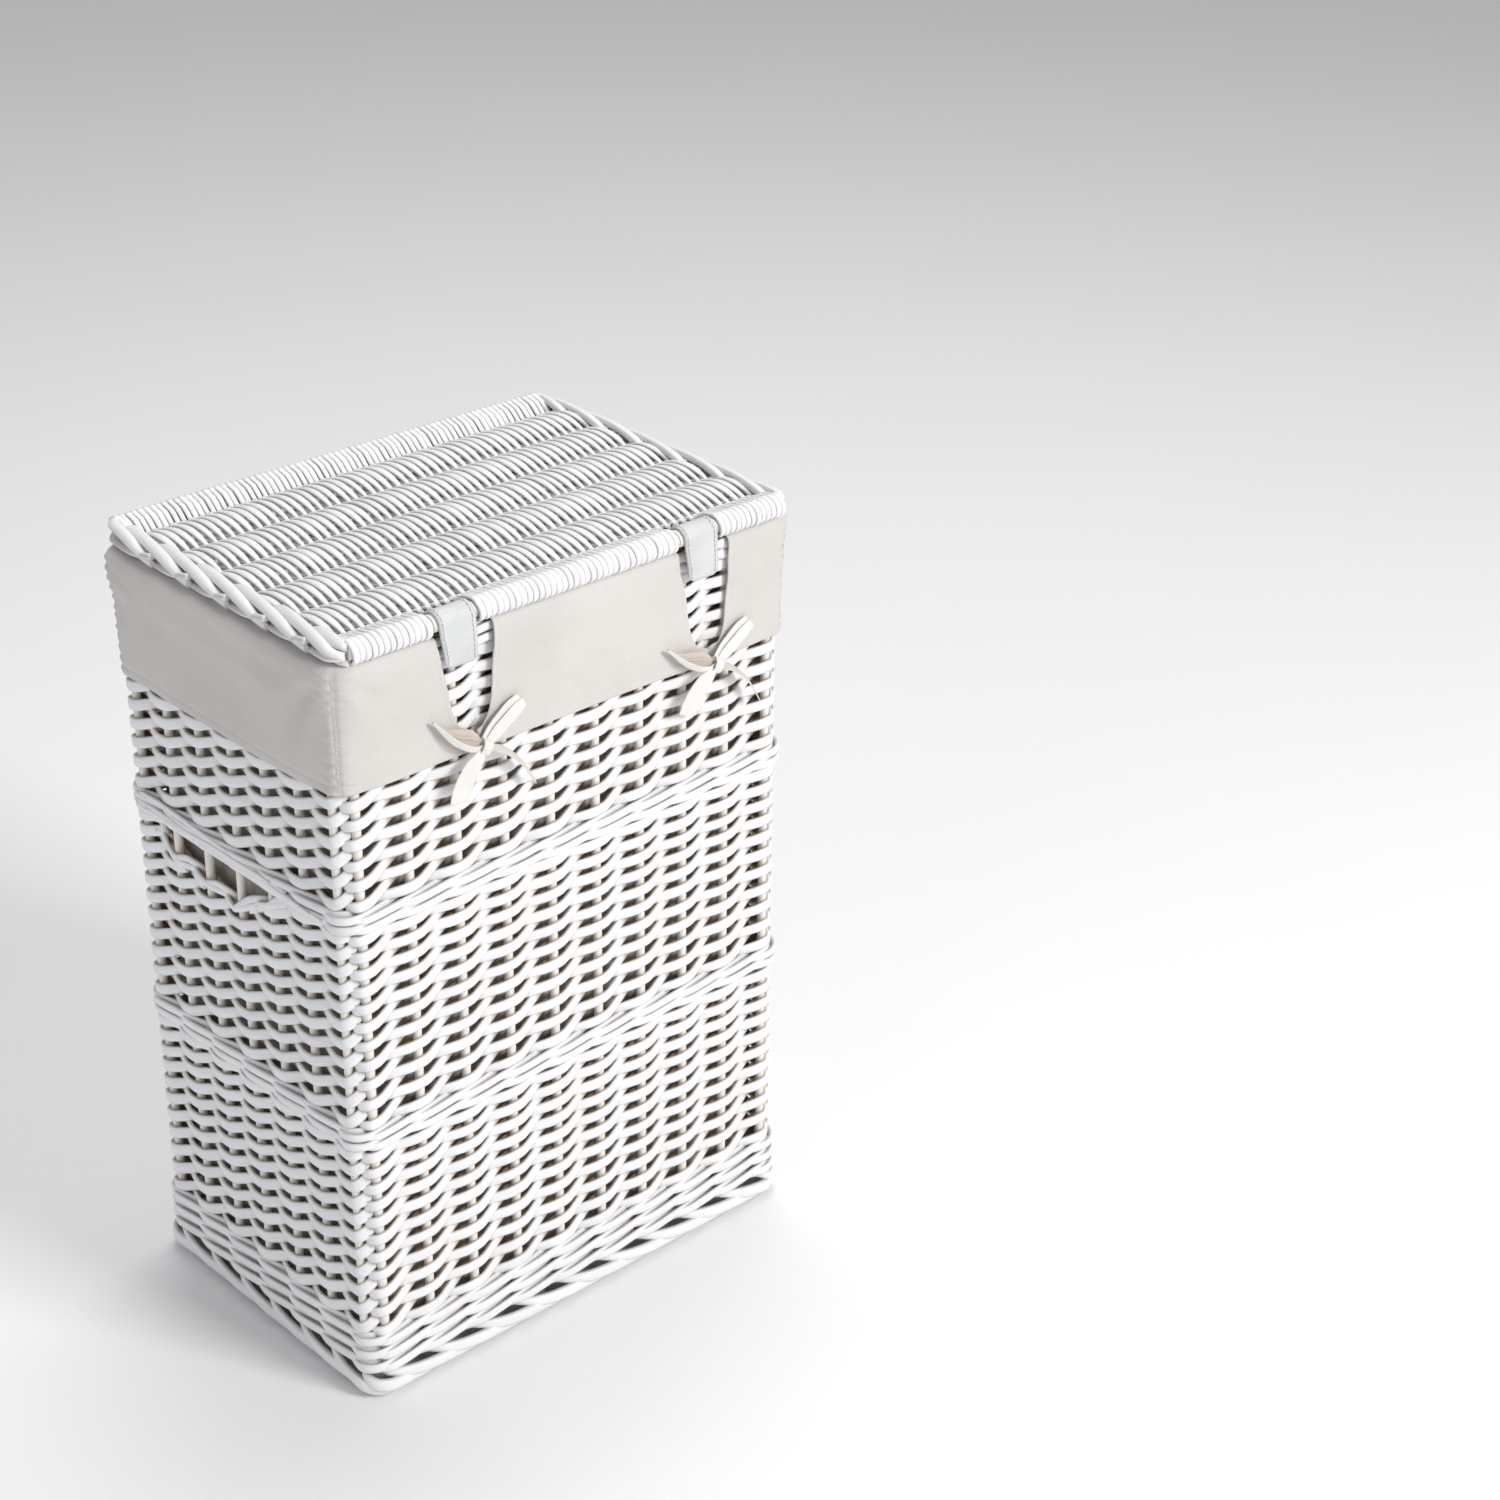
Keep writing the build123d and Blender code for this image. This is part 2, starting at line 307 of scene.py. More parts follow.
# ---- materials ----
class Recipe:
    """The shader nodes of one material."""

    def __init__(self, name):
        self.material = bpy.data.materials.new(name)
        self.material.use_nodes = True
        self.nodes = self.material.node_tree.nodes
        self.links = self.material.node_tree.links
        self.shader = self.nodes["Principled BSDF"]
        self.position = self.nodes.new("ShaderNodeTexCoord").outputs["Object"]

    def feed(self, socket, value):
        """Link an output to a socket, or write a constant straight on it."""
        if isinstance(value, bpy.types.NodeSocket):
            self.links.new(value, socket)
        else:
            socket.default_value = value

    def finish(self, **inputs):
        """Feed the shader's inputs, whose names are written with underscores."""
        for key, value in inputs.items():
            self.feed(self.shader.inputs[key.replace("_", " ")], value)
        return self.material

    def add(self, kind, *values, **settings):
        """A new node with its settings, and the values fed to its first inputs."""
        node = self.nodes.new(kind)
        for key, value in settings.items():
            setattr(node, key, value)
        for socket, value in zip([socket for socket in node.inputs if socket.enabled], values):
            self.feed(socket, value)
        return node

    def attribute(self, name):
        return self.add("ShaderNodeAttribute", attribute_name=name).outputs["Fac"]

    def mix(self, factor, first, second):
        node = self.add("ShaderNodeMix", factor, first, second, data_type="RGBA")
        return next(output for output in node.outputs if output.enabled)

    def ramp(self, value, low, high, low_value=0.0, high_value=1.0):
        return self.add("ShaderNodeMapRange", value, low, high, low_value, high_value).outputs["Result"]

    def noise(self, vector, scale, detail=3.0, roughness=0.55):
        return self.add("ShaderNodeTexNoise", vector, scale, detail, roughness).outputs["Fac"]

    def combine(self, x, y, z):
        return self.add("ShaderNodeCombineXYZ", x, y, z).outputs["Vector"]

    def calculate(self, operation, *values):
        return self.add("ShaderNodeMath", *values, operation=operation).outputs["Value"]

    def times(self, first, second):
        return self.calculate("MULTIPLY", first, second)

    def plus(self, first, second):
        return self.calculate("ADD", first, second)

    def bump(self, height, strength, distance):
        node = self.add("ShaderNodeBump")
        self.feed(node.inputs["Height"], height)
        self.feed(node.inputs["Strength"], strength)
        self.feed(node.inputs["Distance"], distance)
        return node.outputs["Normal"]


worn_wood = (0.55, 0.46, 0.36, 1)
# Painted shade colour for the edges of the willow strips.
strip_edge_shade = (0.42, 0.37, 0.32, 1)
shaded_cotton = (0.60, 0.49, 0.40, 1)
leather_pores = (0.40, 0.42, 0.45, 1)


def willow(name, paint, dark_paint, shaded_bare_wood):
    """Painted split willow: long grain, small colour changes from rod to rod, and a recess colour of bare
    wood and painted shade behind the stakes and on the undersides.
    """
    recipe = Recipe(name)
    tone = recipe.attribute("tone")
    across = recipe.attribute("across")
    along = recipe.attribute("along")
    grain_place = [recipe.times(along, 60.0), recipe.times(across, 3.5), recipe.times(tone, 40.0)]
    grain = recipe.noise(recipe.combine(*grain_place), 1.0, 4.0, 0.6)
    speck = recipe.noise(recipe.position, 420.0, 2.0)
    patch = recipe.noise(recipe.position, 35.0, 2.0)
    lightness = recipe.plus(recipe.ramp(grain, 0.32, 0.62), tone)
    colour = recipe.mix(recipe.ramp(lightness, 0.0, 1.3), dark_paint, paint)
    wear = recipe.times(recipe.ramp(speck, 0.66, 0.8, 0.0, 0.35), recipe.ramp(patch, 0.45, 0.65))
    colour = recipe.mix(wear, colour, worn_wood)
    # Painted shade: the strip edges are darkened where neighbouring strips meet.
    rim = recipe.calculate("ABSOLUTE", across)
    colour = recipe.mix(recipe.ramp(rim, 0.88, 1.0, 0.0, 0.4), colour, strip_edge_shade)
    # The recess colour: bare wood, with painted shade where the strips run behind the stakes and on their
    # undersides.
    bare_and_shade = recipe.times(recipe.attribute("bare_and_shade"), recipe.ramp(patch, 0.2, 0.6, 0.75, 1.0))
    return recipe.finish(
        Base_Color=recipe.mix(bare_and_shade, colour, shaded_bare_wood),
        Roughness=recipe.ramp(grain, 0.3, 0.7, 0.5, 0.36),
        Normal=recipe.bump(grain, 0.35, 0.0005),
        Specular_IOR_Level=0.4,
    )


def woven_cloth(name, light, shade, thread_pitch):
    """Plain-weave cotton: crossing threads, slubs and soft blotches, with painted shade mixed in where a
    strand's recess value is set.
    """
    recipe = Recipe(name)
    split = recipe.add("ShaderNodeSeparateXYZ", recipe.position)
    around = recipe.plus(split.outputs["X"], split.outputs["Y"])
    upright = split.outputs["Z"]
    per_metre = 2 * math.pi / thread_pitch
    warp = recipe.calculate("SINE", recipe.times(around, per_metre))
    weft = recipe.calculate("SINE", recipe.times(upright, per_metre))
    cross = recipe.times(warp, weft)
    slub_place = recipe.combine(recipe.times(around, 60.0), 0.0, recipe.times(upright, 900.0))
    slub = recipe.noise(slub_place, 1.0, 2.0)
    blotch = recipe.noise(recipe.position, 14.0)
    fuzz = recipe.noise(recipe.position, 1500.0, 2.0)
    tone = recipe.plus(recipe.ramp(blotch, 0.35, 0.65, 0.0, 0.6), recipe.ramp(fuzz, 0.3, 0.7, 0.0, 0.35))
    tone = recipe.plus(tone, recipe.ramp(cross, -1.0, 1.0, -0.12, 0.12))
    colour = recipe.mix(recipe.ramp(tone, 0.0, 1.0), shade, light)
    relief = recipe.plus(recipe.plus(cross, recipe.times(fuzz, 0.8)), recipe.times(slub, 0.8))
    return recipe.finish(
        # Painted shade: the inside of a bow's tape is darkened by its recess value.
        Base_Color=recipe.mix(recipe.attribute("bare_and_shade"), colour, shaded_cotton),
        Roughness=0.95,
        Specular_IOR_Level=0.15,
        Sheen_Weight=0.15,
        Normal=recipe.bump(relief, 0.35, 0.0002),
    )


def leatherette(name, light, shade):
    """White coated cloth with a fine pebble grain."""
    recipe = Recipe(name)
    cells = recipe.add("ShaderNodeTexVoronoi", recipe.position, 900.0, feature="DISTANCE_TO_EDGE")
    pebble = recipe.ramp(cells.outputs["Distance"], 0.0, 0.25)
    cloud = recipe.noise(recipe.position, 60.0)
    colour = recipe.mix(recipe.ramp(cloud, 0.35, 0.65), shade, light)
    return recipe.finish(
        Base_Color=recipe.mix(recipe.ramp(pebble, 0.0, 1.0, 0.12, 0.0), colour, leather_pores),
        Roughness=recipe.ramp(pebble, 0.0, 1.0, 0.55, 0.38),
        Normal=recipe.bump(pebble, 0.3, 0.0001),
    )


def plain_thread(name, light, shade):
    """Twisted sewing thread."""
    recipe = Recipe(name)
    twist = recipe.noise(recipe.position, 2500.0, 1.0)
    return recipe.finish(
        Base_Color=recipe.mix(recipe.ramp(twist, 0.35, 0.65), shade, light),
        Roughness=0.8,
        Normal=recipe.bump(twist, 0.4, 0.0001),
    )


# The third colour of each willow is its recess colour: bare wood darkened as painted shade.
stake_willow = willow("stake_willow", (0.90, 0.88, 0.84, 1), (0.82, 0.78, 0.71, 1), (0.45, 0.32, 0.20, 1))
white_willow = willow("white_willow", (0.90, 0.90, 0.91, 1), (0.80, 0.80, 0.82, 1), (0.50, 0.36, 0.24, 1))
cream_willow = willow("cream_willow", (0.88, 0.85, 0.78, 1), (0.78, 0.74, 0.65, 1), (0.45, 0.34, 0.22, 1))
skirt_cloth = woven_cloth("skirt_cotton", (0.70, 0.675, 0.65, 1), (0.62, 0.595, 0.57, 1), 0.0011)
# The bag is the same liner cotton as the skirt, made darker as painted shade for its place inside the
# basket.
shaded_bag_cloth = woven_cloth("bag_cotton_shaded", (0.60, 0.57, 0.53, 1), (0.51, 0.48, 0.44, 1), 0.0011)
tape_cloth = woven_cloth("tape_cotton", (0.88, 0.87, 0.84, 1), (0.79, 0.77, 0.74, 1), 0.0008)
white_leather = leatherette("strap_leatherette", (0.68, 0.69, 0.695, 1), (0.62, 0.63, 0.635, 1))
cotton_thread = plain_thread("cotton_thread", (0.80, 0.78, 0.75, 1), (0.60, 0.57, 0.53, 1))
white_thread = plain_thread("white_thread", (0.88, 0.88, 0.87, 1), (0.62, 0.62, 0.62, 1))


# ---- woven walls ----
strip_thickness = 2.3
swing = stake_radius + strip_thickness / 2  # a strip's middle from the stake line
# One cycle of a strip, in stake steps from the stake that it passes in front of.
cycle_turns = [-1.0, -0.85, -0.2, 0.0, 0.12, 0.5, 0.75, 1.0]
cycle_depths = [-1.0, -0.97, 0.95, 1.0, 1.0, -0.05, -0.8, -1.0]  # 1 in front of stakes, -1 behind
cycle_climb = [0.0, 0.05, 0.24, 0.28, 0.31, 0.66, 0.86, 1.0]  # share of a row climbed
climb_in_front = 0.28  # share climbed at the stake in front
cycle_step = 0.0833  # stake steps from sample to sample
row_crowding = 0.14  # rows are closer together towards the top of each zone
slot_sill_y = [-64.0, -46.0, -29.0, 4.0, 36.0, 66.0, 82.0]  # the lower edge of a finger slot
slot_sill_z = [345.0, 337.0, 329.5, 314.5, 319.0, 322.0, 331.0]
slot_clearance = 4.5  # wall strips stop this far below the sill
wale_thickness = 2.6
wale_lap = 2.4  # how far a wale stroke bulges over the one before
wale_knots = [-0.1, 0.0, 0.45, 1.0, 1.5, 2.0, 2.55, 3.0, 3.1]
wale_bulge = wale_lap / swing
wale_depths = [-1, -1, 0.2, 1 + wale_bulge, 1 + 0.6 * wale_bulge, 1, 0.1, -1, -1]


def bare_and_shade_from(offset):
    """Bare wood and painted shade where a strip runs behind the stakes: the paint is missing there, and the
    recess colour is darkened to stand in for the shade.
    """
    return ease((-offset - 0.4) / 2.6)


def runs_of(keep, shortest=3):
    """Start and end of each unbroken run of kept samples."""
    edges = np.flatnonzero(np.diff(np.concatenate([[0], keep.astype(int), [0]])))
    return [(a, b) for a, b in zip(edges[::2], edges[1::2]) if b - a >= shortest]


def weave_zone(zone, first_row, last_row, row_count, width, slotted=False):
    """The strips of one zone of the wall. Each starts at its own stake and climbs to the top row."""
    heap = Heap()
    climbs = row_count - 1
    for start in range(stake_count):
        turn = np.arange(-0.95, 2 * climbs + 0.62, cycle_step)
        cycle = np.floor((turn + 1) / 2)
        within = turn - 2 * cycle
        offset = swing * soften(np.interp(within, cycle_turns, cycle_depths), 1)
        rows = soften(cycle + np.interp(within, cycle_turns, cycle_climb) - climb_in_front, 1)
        share = rows / climbs
        height = first_row + (last_row - first_row) * (share + row_crowding * share * (1 - share))
        height = np.minimum(height, last_row + 2.0) + drift(turn, 0.45)
        size = width * rng.uniform(0.95, 1.05) * (1 - 0.06 * np.sin(math.pi * turn) ** 2)
        size = size + drift(turn, 0.35)
        points, outward = wall_rail.space(station(start + turn), offset, height)
        keep = np.ones(len(turn), bool)
        if slotted:
            ends = np.abs(points[:, 0]) > stake_x - 5
            inside = (points[:, 1] > slot_sill_y[0]) & (points[:, 1] < slot_sill_y[-1])
            sill = np.interp(points[:, 1], slot_sill_y, slot_sill_z)
            keep = ~(ends & inside & (height > sill - slot_clearance))
        tone = rng.uniform(0, 1)
        for a, b in runs_of(keep):
            bare_and_shade = bare_and_shade_from(offset[a:b])
            sweep(heap, points[a:b], outward[a:b], size[a:b], strip_thickness, bare_and_shade, tone, power=3.4)
    sides = ("front", "back", "left", "right")
    heap.wicker("wall_weave_" + zone, "basket", *["weave_" + zone + "_" + side for side in sides])


def wale_row(heap, low, high, width):
    """One row of three-rod wale: each stroke passes in front of two stakes, over the strokes before it."""
    for start in range(stake_count):
        turn = np.linspace(-0.1, 3.1, 41)
        climb = ease((turn - 0.3) / 2.4)
        height = low + width / 2 + (high - low - width) * climb + drift(turn, 0.35)
        offset = soften(swing * np.interp(turn, wale_knots, wale_depths), 4)
        points, outward = wall_rail.space(station(start + turn), offset, height)
        size = width * rng.uniform(0.93, 1.04) * (1 - 0.25 * np.exp(-((turn - 0.35) / 0.3) ** 2))
        size = size * (1 - 0.25 * np.exp(-((turn - 2.75) / 0.3) ** 2))
        sweep(heap, points, outward, size, wale_thickness, bare_and_shade_from(offset))


weave_zone("lower", 53.0, 184.0, 11, 7.7)
weave_zone("middle", 208.0, 337.0, 11, 7.4, slotted=True)
weave_zone("upper", 360.0, 496.0, 12, 7.4)

for name, bands, width, node in (
    ("wale_band_lower", [(189.5, 198.0), (196.0, 205.0)], 5.4, "wale_lower"),
    ("wale_band_upper", [(341.0, 349.5), (347.5, 356.5)], 5.4, "wale_upper"),
    ("wale_band_base", [(20.0, 30.5), (30.3, 40.8), (40.6, 51.0)], 6.4, "base_wale"),
    ("rim_wale", [(499.5, 507.0), (506.5, 513.5)], 5.5, "rim_border"),
):
    heap = Heap()
    for low, high in bands:
        wale_row(heap, low, high, width)
    heap.wicker(name, "basket", node)

# The foot: the end of every stake is turned down and laid along the bottom.
heap = Heap()
turn = np.linspace(-0.15, 2.9, 45)
knots = [-0.15, 0.1, 0.5, 1.0, 1.6, 2.0, 2.9]
for start in range(stake_count):
    height = soften(np.interp(turn, knots, [18.5, 16.3, 13.0, 10.4, 7.0, 5.5, 4.6]), 6)
    offset = soften(np.interp(turn, knots, [-1.5, 3.0, 6.2, 6.4, 3.2, 1.4, -2.5]), 6)
    size = soften(np.interp(turn, knots, [4.0, 6.2, 8.4, 9.0, 8.8, 8.4, 6.5]), 6) * rng.uniform(0.94, 1.04)
    points, outward = wall_rail.space(station(start + turn), offset, height + drift(turn, 0.3))
    sweep(heap, points, outward, size, 4.6, bare_and_shade_from(offset + 2), power=2.2)
heap.wicker("foot_plait", "basket", "foot_border")

# Finger slots: turned-back weavers along the bottom, long rods along the top.
pitch = 2 * short_reach / (short_stakes - 1)
sill_width, sill_thickness = 4.6, 2.4
for side, sign in (("left", -1), ("right", 1)):
    heap = Heap()
    outward = np.array([float(sign), 0.0, 0.0])
    for stake in range(1, 6):
        turn = np.linspace(-0.5, 1.3, 28)
        y = short_reach - pitch * (stake + turn)
        lift = np.interp(turn, [-0.5, 0.0, 0.3, 0.7, 1.0, 1.3], [-6.0, -3.2, 2.0, 0.2, -3.4, -6.5])
        z = np.interp(y, slot_sill_y, slot_sill_z) + soften(lift, 3)
        offset = soften(np.interp(turn, [-0.5, 0, 0.4, 1.0, 1.3], [0.5, 4.6, 1.2, -4.2, -4.0]), 3)
        path = np.column_stack([sign * (stake_x + offset), y, z])
        sweep(heap, path, outward, sill_width, sill_thickness, bare_and_shade_from(offset))
    for phase in (0.0, 1.0):
        y = np.linspace(92, -70, 60)
        offset = 4.2 * np.cos(math.pi * ((short_reach - y) / pitch + phase))
        z = np.interp(y, slot_sill_y, slot_sill_z) - 2.6 - 1.0 * phase + drift(y / 25, 0.4)
        path = np.column_stack([sign * (stake_x + offset), y, z])
        sweep(heap, path, outward, sill_width, sill_thickness, bare_and_shade_from(offset))
    # Rods along the top: heights near the back and front ends, depth, width, where they begin and end.
    for back_z, front_z, depth, width, begin, end in (
        (344.6, 344.2, 6.2, 4.2, 97, -68),
        (348.6, 346.8, 7.0, 4.0, 103, -84),
        (352.0, 345.4, 6.4, 3.8, 62, -95),
        (346.4, 350.6, 7.2, 3.6, 92, -44),
        (355.0, 349.0, 6.2, 3.6, 99, -58),
        (345.0, 344.6, -4.3, 6.0, 100, -66),
    ):
        sample = np.arange(44)
        y = np.linspace(begin, end, len(sample))
        z = np.interp(y, [-50, 80], [front_z, back_z]) + drift(sample / 8, 0.6)
        x = sign * (stake_x + depth + drift(sample / 8, 0.4))
        taper = np.interp(sample, [0, 5, 38, 43], [0.5, 1.0, 1.0, 0.4])
        sweep(heap, np.column_stack([x, y, z]), outward, width * taper, 2.2)
    heap.wicker("slot_binding_" + side, "basket", "handle_sill_" + side)

# The base: weavers across the six sticks.
skyward = np.array([0.0, 0.0, 1.0])
base_middle = (base_low[2] + base_high[2]) / 2
stick_low, stick_high = node_box("base_sticks")
stick_pitch = (stick_high[1] - stick_low[1] - 8.0) / 5
heap = Heap()
pass_pitch = 4.4
passes = int((base_high[0] - base_low[0] - 4) / pass_pitch)
for number in range(passes):
    x = (number - (passes - 1) / 2) * pass_pitch
    y = np.linspace(base_low[1] + 1, base_high[1] - 1, 50)
    wave = np.cos(math.pi * ((y + 2.5 * stick_pitch) / stick_pitch + number))
    z = base_middle + 4.4 * wave
    path = np.column_stack([x + drift(y / 20, 0.2), y, z])
    # A little recess colour over the whole base: painted shade and bare wood.
    sweep(heap, path, skyward, 3.4 + 1.2 * np.abs(wave), 2.2, 0.1)
heap.wicker("base_weave_rods", "basket", "base_weave")


# ---- lid ----
rib_radius = 3.3
rib_pitch = 2 * rod_y / 6
lid_swing = rib_radius + 1.35
pass_pitch = 3.25
weave_end = rod_y - 18.5
strap_half = (strap_high[0] - strap_low[0]) / 2
wrap_width = 4.3  # of the rods wound over the long edges
wrap_radius = 6.8
wrap_lead_in = [(21.5, -3.6), (17.0, -1.2), (12.5, 2.6), (8.0, 5.6)]
wrap_lead_out = [(8.5, -5.6), (17.0, -4.0), (25.0, -2.0)]
heap = Heap()
passes = int(2 * (rod_reach - 1) / pass_pitch)
for number in range(passes):
    x = (number - (passes - 1) / 2) * pass_pitch
    beside_strap = abs(abs(x) - strap_centre) < strap_half + 3
    near_end = -rod_y + 14.5 if beside_strap else -weave_end
    y = np.linspace(weave_end, near_end, 56)
    wave = np.cos(math.pi * ((y + rod_y) / rib_pitch + number))
    z = lid_z + lid_swing * np.sign(wave) * np.abs(wave) ** 0.85
    wander = drift(y / 40, 0.5)
    path = np.column_stack([x + wander, y, z + drift(y / 30, 0.2)])
    size = (2.7 + 2.5 * np.abs(wave)) * rng.uniform(0.84, 1.08)
    # Where a weaver dips under a rib it takes some recess colour: painted shade and bare wood.
    bare_and_shade = 0.25 * ease(-wave * 2)
    sweep(heap, path, skyward, size, 2.5, bare_and_shade, sides=6, power=2.3)
heap.wicker("lid_weave_rods", "lid", "lid_weave")


def edge_wrap(part, sign):
    """Rods wound over the edge rod, rising out of the valley before the first rib and returning under it."""
    low, high = node_box("lid_wrap_" + part)
    x_low, x_high = low[0], high[0]
    heap = Heap()
    turns = max(1, int(round((x_high - x_low) / wrap_width)))
    pitch = (x_high - x_low) / turns
    # Over the top, round the outside, back underneath: (y, z) from the middle of the edge rod.
    angles = np.radians(np.linspace(68, 292, 22))
    arc = wrap_radius * np.column_stack([np.cos(angles), np.sin(angles)])
    line = curve_through(np.vstack([wrap_lead_in, arc, wrap_lead_out]) + (-rod_y, lid_z), 40)
    sample = np.arange(len(line))
    for turn in range(turns):
        x = x_low + (turn + 0.5) * pitch
        lean = np.linspace(-0.6, 0.6, len(line)) * pitch
        x = np.clip(x + lean + drift(sample / 9, 0.3), x_low + 1.4, x_high - 1.4)
        path = np.column_stack([x, line[:, 0] + rng.normal(0, 0.15), line[:, 1]])
        outward = np.column_stack([np.zeros(len(line)), line[:, 0] + rod_y - 3.0, line[:, 1] - lid_z + 3.0])
        outward[:5] = skyward
        outward[-3:] = -skyward
        size = pitch * rng.uniform(0.86, 1.04) * np.interp(sample, [0, 8, 30, 39], [0.75, 1.0, 1.0, 0.8])
        path[:, 1] *= sign
        outward[:, 1] *= sign
        sweep(heap, path, unit(soften(outward, 3)), size, 2.6, sides=6, power=2.1)
    heap.wicker("lid_edge_" + part, "lid", "lid_wrap_" + part)


for part in ("front_left", "front_middle", "front_right"):
    edge_wrap(part, 1)
edge_wrap("back", -1)

# Short ends of the lid: each rib end is laid along the edge and tucked under.
knots = [0, 0.25, 0.6, 1.0, 1.4, 1.8, 2.15, 2.4]
turn = np.linspace(0, 2.4, 40)
inset = soften(np.interp(turn, knots, [-19.6, -17.8, -15.3, -12.6, -9.9, -7.2, -5.4, -5.6]), 5)
height = soften(np.interp(turn, knots, [-1.2, 2.6, 4.4, 4.7, 4.0, 2.2, -0.8, -3.0]), 5)
limit = lid_high[1] - 4.2
for side, sign in (("left", 1), ("right", -1)):
    heap = Heap()
    for number in range(-1, 7):
        y = rod_y - rib_pitch * number - turn * rib_pitch
        keep = (y < limit) & (y > -limit)
        if keep.sum() < 6:
            continue
        corner = np.clip((np.abs(y) - (limit - 10)) / 10, 0, 1)
        x = -lid_half_length - inset + 6 * corner**2
        path = np.column_stack([x, y, lid_z + height + drift(turn, 0.3)])[keep]
        taper = np.interp(turn, [0, 0.4, 1.8, 2.4], [0.4, 1.0, 0.95, 0.5])
        size = (7.4 * rng.uniform(0.95, 1.05) * taper)[keep]
        path[:, :2] *= sign
        outward = unit(np.array([-0.5 * sign, 0, 1.0]))
        sweep(heap, path, outward, size, 5.2, power=2.1)
        under = path.copy()
        under[:, 2] = 2 * lid_z - under[:, 2] - 1.0
        outward = unit(np.array([-0.35 * sign, 0, -1.0]))
        sweep(heap, under, outward, size, 4.0, power=2.1)
    heap.wicker("lid_plait_" + side, "lid", "lid_border_" + side)

# The binding of the edge rod under each strap.
for side in ("left", "right"):
    low, high = node_box("lid_binding_" + side)
    heap = Heap()
    pitch, radius = 5.3, (high[2] - low[2]) / 2 - 0.45
    turns = (high[0] - low[0] - 4) / pitch
    angle = np.linspace(0, 2 * math.pi * turns, int(26 * turns))
    x = low[0] + 2 + pitch * angle / (2 * math.pi)
    direction = np.column_stack([np.zeros(len(angle)), np.cos(angle), np.sin(angle)])
    path = direction * radius + (0, -rod_y, lid_z)
    path[:, 0] = x
    sweep(heap, path, direction, pitch * 0.97, 0.9, tone=0.5, power=3.5)
    piece = heap.make("edge_binding_" + side, cream_willow, "lid")
    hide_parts("lid_binding_" + side)


# ---- sheets ----
def surface(name, grid, material, body, thickness, closed_columns=False, centre_point=None):
    """A cloth from a grid of points, rows by columns, thickened towards its back."""
    rows, columns = grid.shape[:2]
    index = np.arange(rows * columns).reshape(rows, columns)
    right = np.roll(index, -1, axis=1) if closed_columns else index[:, 1:]
    left = index if closed_columns else index[:, :-1]
    quads = np.stack([left[:-1], left[1:], right[1:], right[:-1]], axis=-1).reshape(-1, 4)
    faces = [tuple(q) for q in quads.tolist()]
    points = (grid.reshape(-1, 3) / 1000.0).tolist()
    if centre_point is not None:
        points.append([c / 1000.0 for c in centre_point])
        last = index[-1]
        faces += [(int(last[i]), len(points) - 1, int(last[(i + 1) % columns])) for i in range(columns)]
    mesh = bpy.data.meshes.new(name)
    mesh.from_pydata(points, [], faces)
    mesh.polygons.foreach_set("use_smooth", np.ones(len(mesh.polygons), bool))
    piece = make_object(name, mesh, material, body)
    thicken = piece.modifiers.new("cloth_thickness", "SOLIDIFY")
    thicken.thickness = thickness / 1000.0
    thicken.offset = -1.0
    return piece


# ---- straps ----
strap_ring = 7.7  # the strap's loop, from the middle of the bound edge rod
strap_lean = 4.2  # how far the hanging end is off to the right
strap_corner = 3.2  # radius of the corners of the outer end
thread_inset = 2.2  # of the stitches, from the edge of the strap
stitch_length, stitch_pitch = 2.3, 3.3

# Middle of the strap, from its inner end over the bound rod to its outer end: points (y, z).
lead = [(-107.2, strap_end + 1), (-106.6, strap_end + 12), (-107.4, rim_top + 1)]
angles = np.radians(np.linspace(0, 180, 13))
arc = [(-rod_y + strap_ring * math.cos(a), lid_z + strap_ring * math.sin(a)) for a in angles]
tail = [(-125.4, rim_top + 1), (-125.0, strap_end + 10), (-124.4, strap_end)]
line = curve_through(np.array(lead + arc + tail), 90)
steps = distances_along(line)
crest = steps[np.argmax(line[:, 1])]
lean = strap_lean * ease((steps - crest) / (steps[-1] - crest))
width = np.interp(steps, [0, 30, 60, steps[-1]], [24, 26, 25.4, 22.6])
into_corner = np.clip(1 - (steps[-1] - steps) / strap_corner, 0, 1)
width = width - 2 * strap_corner * (1 - np.sqrt(np.clip(1 - into_corner**2, 0, 1)))

for side, sign in (("left", -1), ("right", 1)):
    path = np.column_stack([sign * strap_centre + lean, line[:, 0], line[:, 1]])
    across = np.linspace(-0.5, 0.5, 13)
    grid = np.repeat(path[:, None, :], len(across), axis=1)
    grid[:, :, 0] += across[None, :] * width[:, None]
    strap = surface("strap_" + side, grid, white_leather, "basket", 1.6)
    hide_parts("hinge_strap_" + side)

    heap = Heap()
    tangent = unit(np.gradient(path, axis=0))
    normal = np.cross(tangent, np.array([1.0, 0, 0]))
    for edge in (-1, 1):
        place = 8.0
        while place < steps[-1] - 3.0:
            at = np.linspace(place, place + stitch_length, 5)
            arch = 0.25 + 0.3 * np.sin(math.pi * (at - place) / stitch_length)
            points = read_along(at, steps, path) + read_along(at, steps, normal) * arch[:, None]
            points[:, 0] += edge * (np.interp(at, steps, width) / 2 - thread_inset)
            sweep(heap, points, unit(normal[0]), 0.95, 0.6, sides=6)
            place += stitch_pitch
    heap.make("strap_stitches_" + side, white_thread, "basket")


